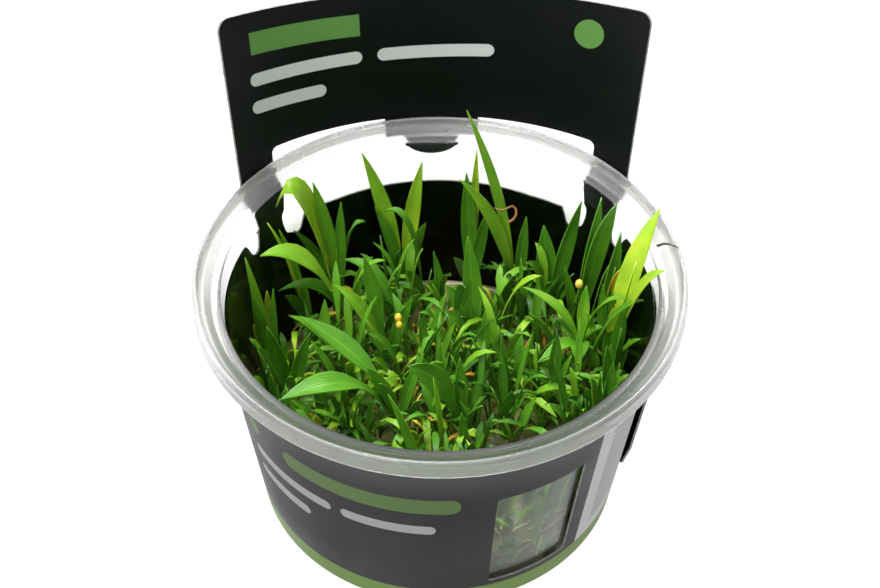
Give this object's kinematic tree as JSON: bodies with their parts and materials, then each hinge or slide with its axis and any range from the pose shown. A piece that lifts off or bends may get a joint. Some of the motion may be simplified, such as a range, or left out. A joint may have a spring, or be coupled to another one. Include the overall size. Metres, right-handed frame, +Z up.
{
  "type": "tissue culture plant cup",
  "caption": "Clear round culture cup without its lid, in a printed card sleeve with a tall header, with grass-like aquarium plantlets growing out of a bed of nutrient gel.",
  "frame": {"origin": "centre of the cup's flat underside, on the surface it stands on", "axes": "+Z up along the cup's axis, +Y to the card header at the back, +X to the card's lapped seam at the right"},
  "size_m": [0.1, 0.1019, 0.1002],
  "materials": {
    "clear_plastic": "clear, glossy, lightly hazed",
    "printed_card": "printed near-black, satin",
    "gel": "translucent, wet gloss",
    "leaf": "waxy, fine parallel veins"
  },
  "bodies": {
    "root": {"cup": "clear_plastic", "sleeve": "printed_card", "gel": "gel", "plantlet_01": "leaf", "plantlet_02": "leaf", "plantlet_03": "leaf", "plantlet_04": "leaf", "plantlet_05": "leaf", "plantlet_06": "leaf", "plantlet_07": "leaf", "plantlet_08": "leaf", "plantlet_09": "leaf", "plantlet_10": "leaf", "plantlet_11": "leaf", "plantlet_12": "leaf", "plantlet_13": "leaf", "plantlet_14": "leaf", "plantlet_15": "leaf", "plantlet_16": "leaf", "plantlet_17": "leaf", "plantlet_18": "leaf", "plantlet_19": "leaf", "plantlet_20": "leaf", "plantlet_21": "leaf", "plantlet_22": "leaf", "plantlet_23": "leaf", "plantlet_24": "leaf", "plantlet_25": "leaf", "plantlet_26": "leaf", "plantlet_27": "leaf", "plantlet_28": "leaf", "plantlet_29": "leaf", "plantlet_30": "leaf", "plantlet_31": "leaf", "plantlet_32": "leaf", "plantlet_33": "leaf", "plantlet_34": "leaf", "plantlet_35": "leaf", "plantlet_36": "leaf", "plantlet_37": "leaf", "plantlet_38": "leaf", "plantlet_39": "leaf", "plantlet_40": "leaf", "plantlet_41": "leaf"}
  },
  "joints": []
}
